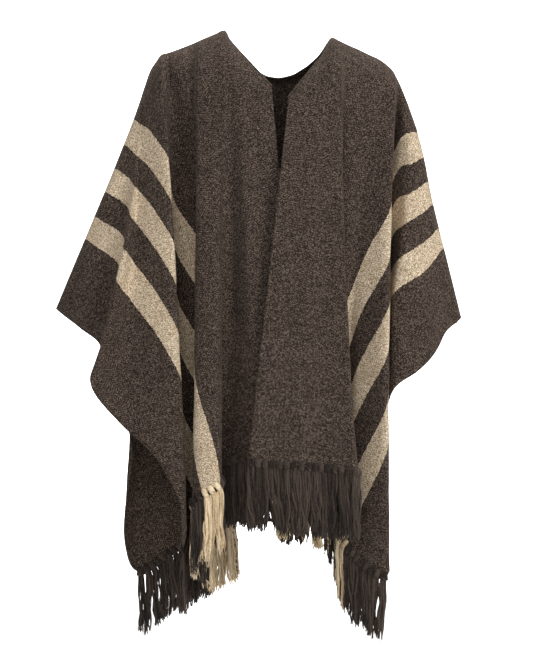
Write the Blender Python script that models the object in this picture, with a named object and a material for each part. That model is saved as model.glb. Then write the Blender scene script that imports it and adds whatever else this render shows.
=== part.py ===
"""Andean poncho of the open-fronted kind, worn and hollow, its front towards -Y.

Two loom widths hang from the shoulders over both arms. They are joined along the
centre back, left open down the front, and end in knotted tassels.
"""

import math
from collections import namedtuple

import bpy
import numpy as np

# The cloth
WALL = 0.002
GAP = 0.0003
SEAT = 0.0004  # how far the knots and the neck binding stand off the cloth's edge
HALF_WIDTH = 0.72
NECK_HALF = 10.4  # centimetres of shoulder line from the centre to the side of the neck
BINDING_WIDTH = 0.0045
BINDING_THICKNESS = 0.0032

# The fringe
TASSEL_PITCH = 0.0127
KNOT_ROW_HEIGHT = 0.006
KNOT_ROW_THICKNESS = 0.003
TASSEL_LENGTH = 0.118
TASSEL_WIDTH = 0.0098
TASSEL_DEPTH = 0.0066
TASSEL_TIP = 0.7
TASSEL_VARIES = 0.05
TASSEL_BEAT = 2.4
KNOT_SHARE = 0.18
MOST_OF_PITCH = 0.8

# How finely the panels are divided
PARTS = 3
BEND_STEPS = 16
LEVELS = (0.018, 0.05, 0.09, 0.14, 0.2, 0.31, 0.45, 0.62, 0.8, 1.0)

# How the curves run: the most of a short fall that its bend takes, and how
# quickly the neck edge drops away from the side of the neck.
MOST_BEND = 0.6
FRONT_NECK_CURVE = 0.85
BACK_NECK_CURVE = 0.8
NECK_MIDDLE = (0.0, -0.01, 0.0)

WOOL = (0.052, 0.041, 0.034, 1.0)
TRIM = (0.045, 0.036, 0.03, 1.0)
YARN = (0.036, 0.03, 0.026, 1.0)
ROUGHNESS = 0.95

CM = 0.01

# Where the shoulder and arm hold the cloth: the line that it bends over,
# as centimetres along the cloth from the centre, and a place in space.
Rest = namedtuple("Rest", "along x y z")
LEFT_REST = (
    Rest(10.4, 10.2, 0.0, -0.6),
    Rest(15.7, 15.0, 0.3, -2.6),
    Rest(21.1, 19.9, 0.4, -5.0),
    Rest(23.3, 21.4, 0.3, -6.6),
    Rest(25.5, 22.6, 0.2, -8.5),
    Rest(29.5, 24.1, 0.0, -12.2),
    Rest(35.3, 26.1, 0.0, -17.6),
    Rest(49.8, 29.1, 0.0, -31.8),
    Rest(72.0, 34.4, 0.0, -53.0),
)
RIGHT_REST = (
    Rest(10.4, -10.2, 0.0, 0.8),
    Rest(16.0, -15.6, 0.3, -1.4),
    Rest(20.9, -19.9, 0.4, -3.0),
    Rest(24.1, -22.7, 0.3, -4.5),
    Rest(27.0, -24.1, 0.2, -7.1),
    Rest(35.8, -26.9, 0.0, -15.4),
    Rest(50.0, -32.3, 0.0, -29.0),
    Rest(72.0, -41.7, 0.0, -51.3),
)

# How far the chest, back and arm hold the cloth off that line before it falls,
# and how far below the line it starts to fall. The left front lies over the right.
Bend = namedtuple("Bend", "along left_front right_front back drop")
BENDS = (
    Bend(0.0, -13.9, -12.2, 12.0, 9.0),
    Bend(10.4, -12.0, -11.2, 11.5, 13.0),
    Bend(11.5, -11.6, -11.0, 11.3, 12.7),
    Bend(12.9, -9.6, -10.7, 11.0, 12.3),
    Bend(14.3, -8.8, -10.4, 10.8, 12.0),
    Bend(15.1, -8.5, -10.2, 10.6, 11.7),
    Bend(16.4, -8.3, -7.8, 10.3, 11.3),
    Bend(18.8, -8.1, -6.8, 9.6, 10.2),
    Bend(21.2, -7.9, -6.5, 8.3, 9.0),
    Bend(22.0, -7.8, -7.6, 7.8, 8.4),
    Bend(22.9, -7.7, -9.0, 7.2, 7.6),
    Bend(23.6, -7.6, -8.6, 6.8, 7.0),
    Bend(25.6, -2.4, -7.0, 6.2, 6.6),
    Bend(28.4, -4.0, -5.3, 5.5, 6.2),
    Bend(29.5, -4.7, -4.8, 5.2, 6.0),
    Bend(37.0, -5.2, -4.6, 5.0, 6.0),
    Bend(50.0, -4.5, -4.5, 4.8, 6.0),
    Bend(66.0, -3.0, -3.0, 3.2, 4.0),
    Bend(72.0, -1.0, -1.0, 1.0, 1.5),
)

# The neck opening at the centre front of each panel and at the centre back.
Neck = namedtuple("Neck", "x y z")
LEFT_NECK = Neck(1.9, -10.6, -13.0)
RIGHT_NECK = Neck(-1.3, -9.2, -10.8)
BACK_NECK = Neck(0.0, 7.5, -6.9)

# Each fold of the cloth is a straight line that falls from the shoulder line.
# A row gives where it starts on that line, and where its front and its back end:
# the place on the hem or the selvage, and the sideways bow of the fold half way.
End = namedtuple("End", "across x y z bow")
Fold = namedtuple("Fold", "name start front back")
LEFT_FOLDS = (
    Fold("centre", 0.0, End(0.0, -5.5, -17.5, -78.6, 0.0), End(0.0, 0.0, 17.0, -80.0, 0.0)),
    Fold("placket", 2.5, End(4.5, -1.1, -17.9, -78.9, 0.0), End(4.0, 3.2, 18.3, -80.1, 0.0)),
    Fold("breast", 5.5, End(10.0, 4.3, -18.0, -79.3, 0.0), End(8.5, 6.5, 20.5, -80.3, 0.0)),
    Fold("trough", 8.0, End(14.5, 7.7, -16.8, -79.6, 0.0), End(15.5, 10.8, 17.2, -80.8, 0.0)),
    Fold("neck_side", 10.4, End(17.5, 10.8, -17.4, -79.9, 0.0), End(21.5, 14.8, 22.0, -81.7, 0.0)),
    Fold("pleat_out", 11.5, End(20.3, 13.6, -18.0, -80.2, -0.7), End(27.5, 19.2, 22.6, -82.9, 0.0)),
    Fold("pleat_under", 12.9, End(23.0, 13.6, -15.2, -80.8, -1.8), End(32.0, 20.6, 20.0, -84.0, 0.0)),
    Fold("tuck_in", 14.3, End(37.0, 0.5, -12.8, -80.6, 0.0), End(37.0, 17.6, 16.7, -85.3, 0.0)),
    Fold("tuck_back", 15.7, End(40.0, 0.8, -10.2, -81.2, 0.0), End(52.0, 13.2, 14.2, -90.0, 0.0)),
    Fold("side_trough", 17.5, End(50.0, 10.0, -5.5, -85.4, 0.0), End(55.5, 13.4, 11.6, -91.2, 0.0)),
    Fold("side_belly", 20.5, End(59.5, 12.4, -9.2, -94.2, 0.0), End(63.5, 15.8, 10.4, -95.2, 0.0)),
    Fold("corner", 23.6, End(72.0, 19.5, -15.0, -99.1, -0.6), End(72.0, 18.8, 9.8, -99.4, 0.0)),
    Fold("arm_near", 25.6, End(72.0, 16.8, 0.6, -82.0, -1.0), End(72.0, 18.2, 7.0, -81.5, 0.0)),
    Fold("arm_far", 28.4, End(72.0, 19.5, -1.6, -77.4, -0.6), End(72.0, 20.2, 6.6, -77.5, 0.0)),
    Fold("forearm", 37.0, End(72.0, 21.0, -9.0, -66.2, -1.6), End(72.0, 21.6, 9.5, -65.5, 0.0)),
    Fold("elbow", 50.0, End(72.0, 25.6, -9.0, -62.7, 0.0), End(72.0, 25.8, 9.0, -62.4, 0.0)),
    Fold("hand", 61.0, End(72.0, 29.2, -5.5, -59.0, 0.0), End(72.0, 29.9, 5.8, -58.2, 0.0)),
    Fold("wrist", 69.0, End(72.0, 31.3, -3.0, -55.5, 0.0), End(72.0, 31.9, 3.0, -55.3, 0.0)),
    Fold("tip", 72.0, End(72.0, 33.6, -1.0, -53.8, 0.0), End(72.0, 33.7, 1.0, -53.7, 0.0)),
)
RIGHT_FOLDS = (
    Fold("centre", 0.0, End(0.0, 6.6, -15.6, -77.1, -0.5), End(0.0, 0.0, 17.0, -80.0, 0.0)),
    Fold("placket", 1.9, End(4.0, 3.0, -15.4, -77.3, -0.2), End(4.0, -3.2, 18.3, -80.1, 0.0)),
    Fold("breast", 4.0, End(8.0, -0.6, -15.0, -77.6, 0.0), End(8.0, -6.5, 20.5, -80.4, 0.0)),
    Fold("trough", 6.0, End(14.0, -5.4, -13.6, -78.1, 0.0), End(15.0, -11.0, 17.4, -81.0, 0.0)),
    Fold("valley_front", 8.0, End(22.0, -9.4, -9.8, -79.4, 0.0), End(21.0, -14.5, 21.2, -81.8, 0.0)),
    Fold("valley_back", 9.2, End(26.0, -11.5, -10.2, -80.6, 0.0), End(25.5, -18.0, 23.2, -82.6, 0.0)),
    Fold("neck_side", 10.4, End(33.0, -10.2, -14.8, -82.2, 0.0), End(30.0, -22.0, 22.8, -83.7, 0.0)),
    Fold("roll", 11.8, End(36.3, -10.8, -17.2, -82.8, 0.0), End(36.0, -22.6, 18.2, -85.2, 0.0)),
    Fold("roll_edge", 15.1, End(43.5, -15.2, -15.6, -85.7, 0.2), End(52.0, -9.0, 14.6, -91.2, 0.0)),
    Fold("recess_near", 16.4, End(60.5, -12.6, -0.8, -92.4, 0.6), End(55.0, -9.1, 11.8, -92.0, 0.0)),
    Fold("recess_far", 21.2, End(63.5, -16.8, 0.4, -93.4, -0.2), End(60.0, -13.5, 11.0, -94.6, 0.0)),
    Fold("corner", 22.0, End(72.0, -17.4, -7.0, -95.3, -0.2), End(66.0, -20.5, 10.2, -98.0, 0.0)),
    Fold("lapel", 22.9, End(72.0, -16.6, -15.6, -89.0, 0.5), End(72.0, -27.3, 9.5, -102.0, -0.3)),
    Fold("belly", 26.0, End(72.0, -21.7, -15.0, -78.5, 0.0), End(72.0, -29.5, 7.0, -95.7, 0.0)),
    Fold("hollow", 29.5, End(72.0, -28.6, -13.0, -72.0, 0.3), End(72.0, -27.9, 5.6, -79.1, 0.0)),
    Fold("flute", 33.0, End(72.0, -33.4, -16.8, -65.0, 2.2), End(72.0, -29.3, 4.6, -70.7, 0.0)),
    Fold("crease", 37.0, End(72.0, -32.4, -9.4, -58.2, 1.3), End(72.0, -31.2, 8.6, -63.8, 0.0)),
    Fold("forearm", 49.0, End(72.0, -35.9, -7.2, -55.3, 0.4), End(72.0, -35.0, 7.2, -57.0, 0.0)),
    Fold("wrist", 66.0, End(72.0, -39.0, -3.5, -53.2, 0.0), End(72.0, -39.4, 3.5, -52.9, 0.0)),
    Fold("tip", 72.0, End(72.0, -41.0, -1.0, -51.9, 0.0), End(72.0, -41.1, 1.0, -51.8, 0.0)),
)


def clear_scene():
    for old in list(bpy.data.objects):
        bpy.data.objects.remove(old, do_unlink=True)


def wool(name, colour):
    material = bpy.data.materials.new(name)
    material.use_nodes = True
    shader = material.node_tree.nodes["Principled BSDF"]
    shader.inputs["Base Color"].default_value = colour
    shader.inputs["Roughness"].default_value = ROUGHNESS
    shader.inputs["Metallic"].default_value = 0.0
    return material


def add_solid(name, points, faces, material):
    """One closed body, with its faces turned outwards."""
    mesh = bpy.data.meshes.new(name)
    mesh.from_pydata([tuple(point) for point in points], [], faces)
    mesh.validate()
    mesh.materials.append(material)
    mesh.shade_smooth()
    solid = bpy.data.objects.new(name, mesh)
    bpy.context.collection.objects.link(solid)
    bpy.ops.object.select_all(action="DESELECT")
    solid.select_set(True)
    bpy.context.view_layer.objects.active = solid
    bpy.ops.object.mode_set(mode="EDIT")
    bpy.ops.mesh.select_all(action="SELECT")
    bpy.ops.mesh.normals_make_consistent(inside=False)
    bpy.ops.object.mode_set(mode="OBJECT")
    return solid


def unit(vectors):
    length = np.linalg.norm(vectors, axis=-1, keepdims=True)
    return vectors / np.maximum(length, 1e-12)


def blend_rows(rows, along):
    """Reads a table whose first column is a distance along the shoulder line."""
    table = np.array(rows)
    return np.array([np.interp(along, table[:, 0], column) for column in table[:, 1:].T])


def spline(points, parts):
    """A smooth line through the points, with this many steps between each pair."""
    points = np.asarray(points, float)
    ends = np.vstack([2 * points[0] - points[1], points, 2 * points[-1] - points[-2]])
    line = [points[0]]
    for before, start, stop, after in zip(ends, ends[1:], ends[2:], ends[3:]):
        knots = [0.0]
        for one, two in ((before, start), (start, stop), (stop, after)):
            knots.append(knots[-1] + max(np.linalg.norm(two - one), 1e-6) ** 0.5)
        for step in range(1, parts + 1):
            at = knots[1] + (knots[2] - knots[1]) * step / parts
            line.append(between(before, start, stop, after, knots, at))
    return np.array(line)


def between(before, start, stop, after, knots, at):
    """One point of a Catmull-Rom curve, by repeated straight blends."""

    def mix(one, two, low, high):
        return one + (two - one) * (at - low) / (high - low)

    first = mix(before, start, knots[0], knots[1])
    second = mix(start, stop, knots[1], knots[2])
    third = mix(stop, after, knots[2], knots[3])
    near = mix(first, second, knots[0], knots[2])
    far = mix(second, third, knots[1], knots[3])
    return mix(near, far, knots[1], knots[2])


def neck_point(fold, rest, corner):
    """A point of the neck edge, from the side of the neck round to the centre."""
    side = np.array(rest[0][1:])
    share = 1 - fold.start / NECK_HALF
    turn = math.sin(math.pi / 2 * share)
    if corner is BACK_NECK:
        dip = (corner.z - side[2]) * turn**BACK_NECK_CURVE
        return np.array([side[0] * (1 - share), corner.y * turn, side[2] + dip])
    x = side[0] + (corner.x - side[0]) * share
    dip = (corner.z - side[2]) * share**FRONT_NECK_CURVE
    return np.array([x, corner.y * turn, side[2] + dip])


def fall_line(top, end, hold, drop):
    """The path of one fold: round the shoulder, then straight down to its end."""
    fall = top[2] - end.z
    full = min(1.0, MOST_BEND * fall / drop)
    drop = drop * full
    hold = top[1] + (hold - top[1]) * full
    angles = np.linspace(0, math.pi / 2, BEND_STEPS + 1)
    depths = np.append(top[1] + (hold - top[1]) * np.sin(angles), end.y)
    heights = np.append(top[2] - drop * (1 - np.cos(angles)), end.z)
    share = (top[2] - heights) / fall
    sides = top[0] + (end.x - top[0]) * share
    path = np.column_stack([sides, depths, heights])
    length = np.append(0, np.cumsum(np.linalg.norm(np.diff(path, axis=0), axis=1)))
    levels = np.append(0, LEVELS) * length[-1]
    line = np.column_stack([np.interp(levels, length, part) for part in path.T])
    share = (top[2] - line[:, 2]) / fall
    line[:, 0] += end.bow * 4 * share * (1 - share)
    return line


def face_grid(folds, rest, corner):
    """Rows of points from the neck and shoulder line down to the hem and selvage."""
    is_back = corner is BACK_NECK
    lines = []
    for fold in folds:
        end = fold.back if is_back else fold.front
        bend = Bend(fold.start, *blend_rows(BENDS, fold.start))
        hold = {LEFT_NECK: bend.left_front, RIGHT_NECK: bend.right_front, BACK_NECK: bend.back}
        if fold.start < NECK_HALF:
            top = neck_point(fold, rest, corner)
        else:
            top = blend_rows(rest, fold.start)
        lines.append(fall_line(top, end, hold[corner], bend.drop))
    levels = np.array(lines).transpose(1, 0, 2)
    grid = np.array([spline(level, PARTS) for level in levels])
    neck = neck_columns(folds)
    starts = [fold.start for fold in folds]
    columns = np.arange(grid.shape[1]) / PARTS
    for column in range(neck, grid.shape[1]):
        along = np.interp(columns[column], range(len(starts)), starts)
        grid[0, column] = blend_rows(rest, along)
    return grid * CM


def neck_columns(folds):
    """How many columns of points lie along the neck edge before the shoulder line."""
    return PARTS * sum(fold.start < NECK_HALF for fold in folds)


def hem_columns(folds, is_back):
    """The column of the panel's corner, where the hem ends and the selvage starts."""
    ends = [fold.back if is_back else fold.front for fold in folds]
    return PARTS * [end.across for end in ends].index(HALF_WIDTH / CM)


class Sheet:
    """The middle surface of one panel: a front and a back grid that share the shoulder line."""

    def __init__(self, folds, rest, corner):
        self.folds = folds
        self.front = face_grid(folds, rest, corner)
        self.back = face_grid(folds, rest, BACK_NECK)
        self.back[:, 0, 0] = math.copysign(GAP, rest[0].x)
        rows, columns = self.front.shape[:2]
        self.front_ids = np.arange(rows * columns).reshape(rows, columns)
        self.back_ids = self.front_ids + rows * columns
        neck = neck_columns(folds)
        self.back_ids[0, neck:] = self.front_ids[0, neck:]
        self.points = np.vstack([self.front.reshape(-1, 3), self.back.reshape(-1, 3)])
        self.quads = quads_of(self.front_ids) + quads_of(self.back_ids[::-1])
        self.normals = self.point_normals()

    def point_normals(self):
        normals = np.zeros_like(self.points)
        for quad in self.quads:
            one, two, three, four = self.points[list(quad)]
            normals[list(quad)] += np.cross(three - one, four - two)
        seam = self.back_ids[:, 0]
        normals[seam, 0] = 0.0
        return unit(normals)


def quads_of(ids):
    rows, columns = ids.shape
    return [
        (ids[row, column], ids[row, column + 1], ids[row + 1, column + 1], ids[row + 1, column])
        for row in range(rows - 1)
        for column in range(columns - 1)
    ]


def wall_of(sheet):
    """The panel's cloth: its middle surface moved out both ways, and closed round its edge."""
    used = sorted({point for quad in sheet.quads for point in quad})
    place = {point: index for index, point in enumerate(used)}
    count = len(used)
    half = sheet.normals[used] * WALL / 2
    points = np.vstack([sheet.points[used] + half, sheet.points[used] - half])
    faces = []
    edges = {}
    for quad in sheet.quads:
        ring = [place[point] for point in quad]
        faces.append(ring)
        faces.append([point + count for point in reversed(ring)])
        for start, stop in zip(ring, ring[1:] + ring[:1]):
            edges[(start, stop)] = None
    for start, stop in edges:
        if (stop, start) not in edges:
            faces.append([stop, start, start + count, stop + count])
    return points, faces


def fringe_of(grid, ids, normals, last):
    """A row of knots just below the hem, with a tassel from each."""
    hem = grid[-1, : last + 1]
    outs = normals[ids[-1, : last + 1]]
    falls = unit(np.cross(outs, np.gradient(hem, axis=0)))
    falls *= np.sign(-falls[:, 2:])
    if abs(hem[0, 0]) <= GAP:
        falls[0, 0] = 0.0
    frame = np.hstack([hem, falls, outs])
    stations = []
    for here in range(last):
        span = np.linalg.norm(hem[here + 1] - hem[here])
        cells = max(1, round(span / TASSEL_PITCH))
        for cell in range(cells):
            stations.append(frame[here] + (frame[here + 1] - frame[here]) * cell / cells)
    stations.append(frame[last])
    points = []
    for station in stations:
        place, fall, out = np.split(station, 3)
        fall = unit(fall)
        side = unit(out - fall * np.dot(out, fall)) * KNOT_ROW_THICKNESS / 2
        upper = place + fall * SEAT
        lower = upper + fall * KNOT_ROW_HEIGHT
        points += [upper + side, upper - side, lower - side, lower + side]
    faces = [[0, 1, 2, 3]]
    for cell in range(len(stations) - 1):
        first = 4 * cell
        for corner in (0, 1, 3):
            following = (corner + 1) % 4
            faces.append([first + corner, first + 4 + corner,
                          first + 4 + following, first + following])
    final = 4 * (len(stations) - 1)
    faces.append([final + 3, final + 2, final + 1, final])
    for cell in range(len(stations) - 1):
        first = 4 * cell
        root = [first + 2, first + 6, first + 7, first + 3]
        add_tassel(points, faces, root, cell)
    return points, faces


def add_tassel(points, faces, root, number):
    """A four-sided tassel that hangs from the foot of one cell of the knot row."""
    corners = np.array([points[index] for index in root])
    middle = corners.mean(axis=0)
    across = (corners[1] - corners[0]) * (1, 1, 0)
    spacing = np.linalg.norm(across)
    across = across / spacing
    outward = np.cross(across, (0, 0, 1))
    if np.dot(outward, corners[3] - corners[0]) < 0:
        outward = -outward
    width = min(TASSEL_WIDTH, MOST_OF_PITCH * spacing) / 2
    depth = TASSEL_DEPTH / 2
    length = TASSEL_LENGTH * (1 + TASSEL_VARIES * math.sin(TASSEL_BEAT * number))
    ring = root
    for share, size in ((KNOT_SHARE, 1.0), (1.0, TASSEL_TIP)):
        centre = middle - np.array((0, 0, length * share))
        start = len(points)
        for side, out in ((-1, -1), (1, -1), (1, 1), (-1, 1)):
            points.append(centre + across * side * width * size + outward * out * depth * size)
        following = [start, start + 1, start + 2, start + 3]
        for corner in range(4):
            after = (corner + 1) % 4
            faces.append([ring[corner], ring[after], following[after], following[corner]])
        ring = following
    faces.append(ring)


def neck_edge(sheet):
    """The points and the outward normals along one panel's neck edge."""
    last = neck_columns(sheet.folds)
    front = sheet.front_ids[0, : last + 1]
    back = sheet.back_ids[0, :last][::-1]
    order = np.concatenate([front, back])
    return sheet.points[order], sheet.normals[order]


def binding_of(left, right):
    """The bound neck edge: one strip that runs from front to front round the back."""
    left_points, left_normals = neck_edge(left)
    right_points, right_normals = neck_edge(right)
    points = np.vstack([left_points, right_points[::-1][1:]])
    seam = len(left_points) - 1
    points[seam, 0] = 0.0
    normals = np.vstack([left_normals, -right_normals[::-1][1:]])
    ways = np.gradient(points, axis=0)
    outs = unit(np.cross(ways, normals))
    inwards = np.array(NECK_MIDDLE) - points
    outs *= np.sign(np.sum(outs * inwards, axis=1, keepdims=True))
    near = points + outs * SEAT
    far = near + outs * BINDING_WIDTH
    half = normals * BINDING_THICKNESS / 2
    rings = np.stack([near + half, far + half, far - half, near - half], axis=1)
    faces = [[0, 1, 2, 3]]
    for cell in range(len(points) - 1):
        first = 4 * cell
        for corner in range(4):
            after = (corner + 1) % 4
            faces.append([first + corner, first + after, first + 4 + after, first + 4 + corner])
    final = 4 * (len(points) - 1)
    faces.append([final + 3, final + 2, final + 1, final])
    return rings.reshape(-1, 3), faces


def build():
    clear_scene()
    cloth = wool("dark_wool_cloth", WOOL)
    trim = wool("neck_binding_wool", TRIM)
    yarn = wool("fringe_yarn", YARN)
    left = Sheet(LEFT_FOLDS, LEFT_REST, LEFT_NECK)
    right = Sheet(RIGHT_FOLDS, RIGHT_REST, RIGHT_NECK)
    for side, sheet in (("left", left), ("right", right)):
        add_solid("panel_" + side, *wall_of(sheet), cloth)
        last = hem_columns(sheet.folds, False)
        add_solid(
            "fringe_front_" + side,
            *fringe_of(sheet.front, sheet.front_ids, sheet.normals, last),
            yarn,
        )
        last = hem_columns(sheet.folds, True)
        add_solid(
            "fringe_back_" + side,
            *fringe_of(sheet.back, sheet.back_ids, sheet.normals, last),
            yarn,
        )
    add_solid("neck_binding", *binding_of(left, right), trim)


build()
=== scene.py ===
import math
from collections import namedtuple

import bpy
import numpy as np
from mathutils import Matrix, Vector


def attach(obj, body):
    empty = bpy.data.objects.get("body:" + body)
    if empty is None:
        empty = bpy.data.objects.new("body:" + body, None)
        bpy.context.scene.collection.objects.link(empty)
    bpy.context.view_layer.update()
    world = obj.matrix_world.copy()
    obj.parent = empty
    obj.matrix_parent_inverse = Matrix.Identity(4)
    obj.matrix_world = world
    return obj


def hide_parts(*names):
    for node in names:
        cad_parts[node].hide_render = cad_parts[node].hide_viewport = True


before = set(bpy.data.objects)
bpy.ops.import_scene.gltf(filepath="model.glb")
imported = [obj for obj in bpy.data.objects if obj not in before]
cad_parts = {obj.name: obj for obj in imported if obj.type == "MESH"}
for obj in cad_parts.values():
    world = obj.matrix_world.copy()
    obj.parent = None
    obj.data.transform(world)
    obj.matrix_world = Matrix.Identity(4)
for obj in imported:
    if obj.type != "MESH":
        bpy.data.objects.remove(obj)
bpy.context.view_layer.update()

# ---------------------------------------------------------------------------
# The right panel
# One loom width of dark heathered wool twill with three pale stripes along its
# outer side. It hangs from the shoulder and the arm, front and back, and its
# side edge is the selvage that the loom left.
# ---------------------------------------------------------------------------

# The cloth's cut and every table of the panels is in centimetres. The points
# worked out from them, and all other sizes, are in metres.
CM = 0.01
PANEL_WIDTH = 72.0  # from the centre to the selvage
HEM_DROP = 80.0  # from the shoulder line to either hem
NECK_HALF = 10.4  # from the centre to a side of the neck
FRONT_NECK_CURVE = 0.85
BACK_NECK_CURVE = 0.8
MOST_BEND = 0.6  # the share of a fold's fall that may go into its bend
CLOTH_THICKNESS = 0.0018

# The line of shoulder and arm that the cloth bends over, in centimetres.
Rest = namedtuple("Rest", "along x y z")
RIGHT_REST = (
    Rest(10.4, -10.2, 0.0, 0.8),
    Rest(16.0, -15.6, 0.3, -1.4),
    Rest(20.9, -19.9, 0.4, -3.0),
    Rest(24.1, -22.7, 0.3, -4.5),
    Rest(27.0, -24.1, 0.2, -7.1),
    Rest(35.8, -26.9, 0.0, -15.4),
    Rest(50.0, -32.3, 0.0, -29.0),
    Rest(72.0, -41.7, 0.0, -51.3),
)

# How far chest, back and arm hold the cloth off that line, and over what drop.
Bend = namedtuple("Bend", "along left_front right_front back drop")
BENDS = (
    Bend(0.0, -13.9, -12.2, 12.0, 9.0),
    Bend(10.4, -12.0, -11.2, 11.5, 13.0),
    Bend(11.5, -11.6, -11.0, 11.3, 12.7),
    Bend(12.9, -9.6, -10.7, 11.0, 12.3),
    Bend(14.3, -8.8, -10.4, 10.8, 12.0),
    Bend(15.1, -8.5, -10.2, 10.6, 11.7),
    Bend(16.4, -8.3, -7.8, 10.3, 11.3),
    Bend(18.8, -8.1, -6.8, 9.6, 10.2),
    Bend(21.2, -7.9, -6.5, 8.3, 9.0),
    Bend(22.0, -7.8, -7.6, 7.8, 8.4),
    Bend(22.9, -7.7, -9.0, 7.2, 7.6),
    Bend(23.6, -7.6, -8.6, 6.8, 7.0),
    Bend(25.6, -2.4, -7.0, 6.2, 6.6),
    Bend(28.4, -4.0, -5.3, 5.5, 6.2),
    Bend(29.5, -4.7, -4.8, 5.2, 6.0),
    Bend(37.0, -5.2, -4.6, 5.0, 6.0),
    Bend(50.0, -4.5, -4.5, 4.8, 6.0),
    Bend(66.0, -3.0, -3.0, 3.2, 4.0),
    Bend(72.0, -1.0, -1.0, 1.0, 1.5),
)

Neck = namedtuple("Neck", "x y z")
RIGHT_NECK = Neck(-1.3, -9.2, -10.8)
BACK_NECK = Neck(0.0, 7.5, -6.9)

# One row for each fold: where it leaves the shoulder line, and where it meets
# the front and the back hem or selvage, with its sideways bow half way.
End = namedtuple("End", "across x y z bow")
Fold = namedtuple("Fold", "name start front back")
RIGHT_FOLDS = (
    Fold("centre", 0.0, End(0.0, 6.6, -15.6, -77.1, -0.5), End(0.0, 0.0, 17.0, -80.0, 0.0)),
    Fold("placket", 1.9, End(4.0, 3.0, -15.4, -77.3, -0.2), End(4.0, -3.2, 18.3, -80.1, 0.0)),
    Fold("breast", 4.0, End(8.0, -0.6, -15.0, -77.6, 0.0), End(8.0, -6.5, 20.5, -80.4, 0.0)),
    Fold("trough", 6.0, End(14.0, -5.4, -13.6, -78.1, 0.0), End(15.0, -11.0, 17.4, -81.0, 0.0)),
    Fold("valley_front", 8.0, End(22.0, -9.4, -9.8, -79.4, 0.0), End(21.0, -14.5, 21.2, -81.8, 0.0)),
    Fold("valley_back", 9.2, End(26.0, -11.5, -10.2, -80.6, 0.0), End(25.5, -18.0, 23.2, -82.6, 0.0)),
    Fold("neck_side", 10.4, End(33.0, -10.2, -14.8, -82.2, 0.0), End(30.0, -22.0, 22.8, -83.7, 0.0)),
    Fold("roll", 11.8, End(36.3, -10.8, -17.2, -82.8, 0.0), End(36.0, -22.6, 18.2, -85.2, 0.0)),
    Fold("roll_edge", 15.1, End(43.5, -15.2, -15.6, -85.7, 0.2), End(52.0, -9.0, 14.6, -91.2, 0.0)),
    Fold("recess_near", 16.4, End(60.5, -12.6, -0.8, -92.4, 0.6), End(55.0, -9.1, 11.8, -92.0, 0.0)),
    Fold("recess_far", 21.2, End(63.5, -16.8, 0.4, -93.4, -0.2), End(60.0, -13.5, 11.0, -94.6, 0.0)),
    Fold("corner", 22.0, End(72.0, -17.4, -7.0, -95.3, -0.2), End(66.0, -20.5, 10.2, -98.0, 0.0)),
    Fold("lapel", 22.9, End(72.0, -16.6, -15.6, -89.0, 0.5), End(72.0, -27.3, 9.5, -102.0, -0.3)),
    Fold("belly", 26.0, End(72.0, -21.7, -15.0, -78.5, 0.0), End(72.0, -29.5, 7.0, -95.7, 0.0)),
    Fold("hollow", 29.5, End(72.0, -28.6, -13.0, -72.0, 0.3), End(72.0, -27.9, 5.6, -79.1, 0.0)),
    Fold("flute", 33.0, End(72.0, -33.4, -16.8, -65.0, 2.2), End(72.0, -29.3, 4.6, -70.7, 0.0)),
    Fold("crease", 37.0, End(72.0, -32.4, -9.4, -58.2, 1.3), End(72.0, -31.2, 8.6, -63.8, 0.0)),
    Fold("forearm", 49.0, End(72.0, -35.9, -7.2, -55.3, 0.4), End(72.0, -35.0, 7.2, -57.0, 0.0)),
    Fold("wrist", 66.0, End(72.0, -39.0, -3.5, -53.2, 0.0), End(72.0, -39.4, 3.5, -52.9, 0.0)),
    Fold("tip", 72.0, End(72.0, -41.0, -1.0, -51.9, 0.0), End(72.0, -41.1, 1.0, -51.8, 0.0)),
)

# Soft creases drawn on the flat cloth, in centimetres across and down from the
# shoulder line (the back has minus signs): a line, its half width, and how far
# the cloth rises out of it, or sinks where the number is negative.
Crease = namedtuple("Crease", "across down to_across to_down width rise")
RIGHT_CREASES = (
    Crease(3.0, 16.0, 6.0, 78.0, 1.6, 0.34),
    Crease(7.0, 5.0, 11.0, 74.0, 1.8, -0.70),
    Crease(11.0, 5.0, 16.5, 60.0, 1.5, 0.40),
    Crease(14.0, 9.0, 24.0, 52.0, 1.8, 0.34),
    Crease(18.5, 0.0, 23.5, 18.0, 2.2, -1.50),
    Crease(19.5, 5.0, 22.0, 18.0, 1.4, -0.16),
    Crease(21.0, 12.0, 33.0, 40.0, 2.2, 0.25),
    Crease(26.0, 8.0, 37.0, 22.0, 1.6, -0.18),
    Crease(44.0, 10.0, 60.0, 22.0, 2.0, 0.20),
    Crease(50.0, 20.0, 66.0, 30.0, 2.4, -0.22),
    Crease(2.5, -14.0, 5.0, -76.0, 1.7, 0.22),
    Crease(6.5, -10.0, 11.5, -62.0, 1.6, -0.26),
    Crease(12.5, -8.0, 20.0, -44.0, 1.5, 0.20),
    Crease(19.0, -9.0, 30.0, -38.0, 1.8, -0.22),
    Crease(27.0, -9.0, 42.0, -30.0, 2.0, 0.22),
    Crease(46.0, -12.0, 62.0, -24.0, 2.0, -0.20),
)

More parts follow.
